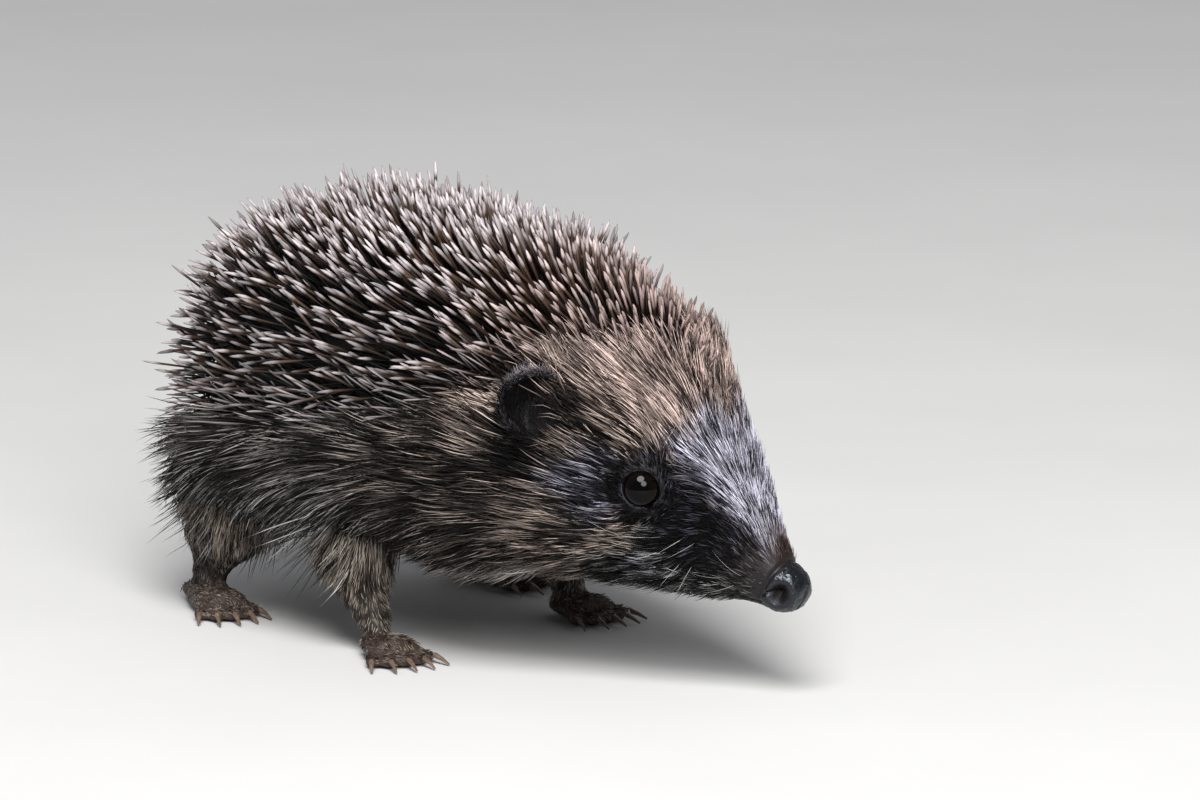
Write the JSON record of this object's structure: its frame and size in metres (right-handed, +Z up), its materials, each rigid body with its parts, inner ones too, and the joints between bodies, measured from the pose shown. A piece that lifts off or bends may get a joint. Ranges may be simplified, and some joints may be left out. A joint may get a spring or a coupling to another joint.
{
  "type": "young hedgehog",
  "caption": "Young spiny mammal with a pointed snout, round ears and short clawed legs, walking with its head low; banded spines over a skirt of coarse fur, as a still model.",
  "frame": {"origin": "middle of the bounding box, on the floor under the soles", "axes": "-Y the way the trunk points, +X to the animal's left, +Z up"},
  "size_m": [0.0734, 0.1286, 0.0695],
  "materials": {
    "spines": "dark brown horn spines with pale cream bands and tips, satin",
    "fur": "coarse brown, cream and grey hair, dull",
    "bare_skin": "dark grey-pink bare skin, fine creases, satin",
    "nose_leather": "wet, pebbled black-brown nose skin, glossy",
    "eye": "wet black, mirror-like",
    "claw": "translucent brown horn, polished by wear"
  },
  "bodies": {
    "root": {"ear_left": "bare_skin", "ear_right": "bare_skin", "eye_left": "eye", "eye_right": "eye", "forefoot_left": "bare_skin", "forefoot_left_claw_1": "claw", "forefoot_left_claw_2": "claw", "forefoot_left_claw_3": "claw", "forefoot_left_claw_4": "claw", "forefoot_left_claw_5": "claw", "forefoot_right": "bare_skin", "forefoot_right_claw_1": "claw", "forefoot_right_claw_2": "claw", "forefoot_right_claw_3": "claw", "forefoot_right_claw_4": "claw", "forefoot_right_claw_5": "claw", "foreleg_left": "fur", "foreleg_right": "fur", "head": "fur", "hindfoot_left": "bare_skin", "hindfoot_left_claw_1": "claw", "hindfoot_left_claw_2": "claw", "hindfoot_left_claw_3": "claw", "hindfoot_left_claw_4": "claw", "hindfoot_left_claw_5": "claw", "hindfoot_right": "bare_skin", "hindfoot_right_claw_1": "claw", "hindfoot_right_claw_2": "claw", "hindfoot_right_claw_3": "claw", "hindfoot_right_claw_4": "claw", "hindfoot_right_claw_5": "claw", "hindleg_left": "fur", "hindleg_right": "fur", "jaw": "fur", "neck": "spines", "nose": "nose_leather", "tail": "bare_skin", "trunk": "spines"}
  },
  "joints": []
}
